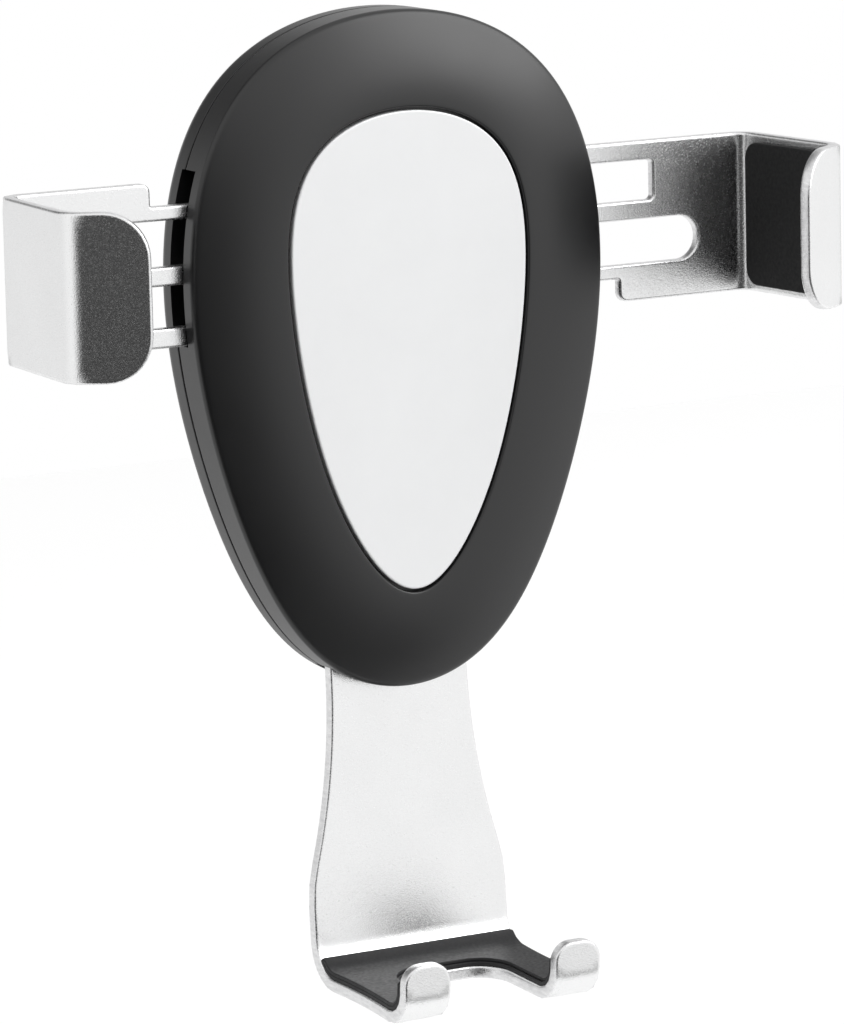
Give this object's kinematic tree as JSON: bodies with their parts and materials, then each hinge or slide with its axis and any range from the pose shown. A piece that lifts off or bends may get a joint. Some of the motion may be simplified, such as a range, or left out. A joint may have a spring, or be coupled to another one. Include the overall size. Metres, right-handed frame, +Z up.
{
  "type": "car phone holder",
  "caption": "Air-vent phone holder: egg-shaped black housing, side arms that close as a lower shelf sinks, ball joint and spring clip behind.",
  "frame": {"origin": "middle of the face plate's front face, where the phone's back rests", "axes": "+X to the right as seen by the driver, +Y away from the phone towards the vent, +Z up"},
  "size_m": [0.0962, 0.0615, 0.1083],
  "materials": {
    "face_plate": "fine satin silver-white",
    "housing": "satin black moulded plastic",
    "screws": "dark zinc",
    "arm_sheet": "fine blasted, bright",
    "bracket_sheet": "fine blasted, bright",
    "arm_pads": "matt black",
    "steel": "bright steel",
    "shelf_pad": "matt dark grey",
    "spring_wire": "drawn wire",
    "liner": "natural acetal",
    "lock_nut": "satin black moulded plastic",
    "clip_moulding": "satin black moulded plastic",
    "jaw_pads": "matt black"
  },
  "bodies": {
    "clip": {"clip_body": "clip_moulding", "upper_jaw_pad": "jaw_pads", "clip_hinge_pin": "steel"},
    "jaw": {"clip_jaw": "clip_moulding", "lower_jaw_pad": "jaw_pads", "clip_spring": "spring_wire"},
    "ball_seat": {"ball_cup": "liner"},
    "ball_ring": {"clamp_ring": "liner"},
    "housing": {"front_cover": "housing", "rear_cover": "housing", "face_plate": "face_plate", "cover_screws": "screws"},
    "nut": {"lock_nut": "lock_nut"},
    "shelf": {"lower_bracket": "bracket_sheet", "shelf_pad": "shelf_pad", "right_return_spring": "spring_wire", "left_return_spring": "spring_wire"},
    "right_side": {"right_arm": "arm_sheet", "right_arm_pad": "arm_pads", "right_drive_pin": "steel"},
    "left_side": {"left_arm": "arm_sheet", "left_arm_pad": "arm_pads", "left_drive_pin": "steel"}
  },
  "joints": [
    {"name": "ball_pan", "type": "hinge", "parent": "clip", "child": "ball_seat", "pos_m": [0, 0.0185, 0], "axis": [0, 0, 1], "range_deg": [-15, 15]},
    {"name": "ball_tilt", "type": "hinge", "parent": "ball_seat", "child": "ball_ring", "pos_m": [0, 0.0185, 0], "axis": [1, 0, 0], "range_deg": [-15, 15]},
    {"name": "ball_roll", "type": "hinge", "parent": "ball_ring", "child": "housing", "pos_m": [0, 0.0185, 0], "axis": [0, 1, 0], "continuous": true},
    {"name": "nut_turn", "type": "hinge", "parent": "housing", "child": "nut", "pos_m": [0, 0.0185, 0], "axis": [0, 1, 0], "range_deg": [0, 90]},
    {"name": "shelf_drop", "type": "slide", "parent": "housing", "child": "shelf", "axis": [0, 0, -1], "range_m": [0, 0.015], "stiffness_N_per_m": 40, "springref_m": -0.01, "deforming": ["right_return_spring", "left_return_spring"]},
    {"name": "right_arm_close", "type": "slide", "parent": "housing", "child": "right_side", "axis": [-1, 0, 0], "range_m": [0, 0.015]},
    {"name": "left_arm_close", "type": "slide", "parent": "housing", "child": "left_side", "axis": [1, 0, 0], "range_m": [0, 0.015]},
    {"name": "jaw_open", "type": "hinge", "parent": "clip", "child": "jaw", "pos_m": [0, 0.0316, -0.0035], "axis": [-1, 0, 0], "range_deg": [0, 16], "stiffness_Nm_per_rad": 0.05, "springref_deg": -20.05}
  ],
  "couplings": [
    {"joint": "right_arm_close", "follows": "shelf_drop", "ratio": 1},
    {"joint": "left_arm_close", "follows": "shelf_drop", "ratio": 1}
  ]
}
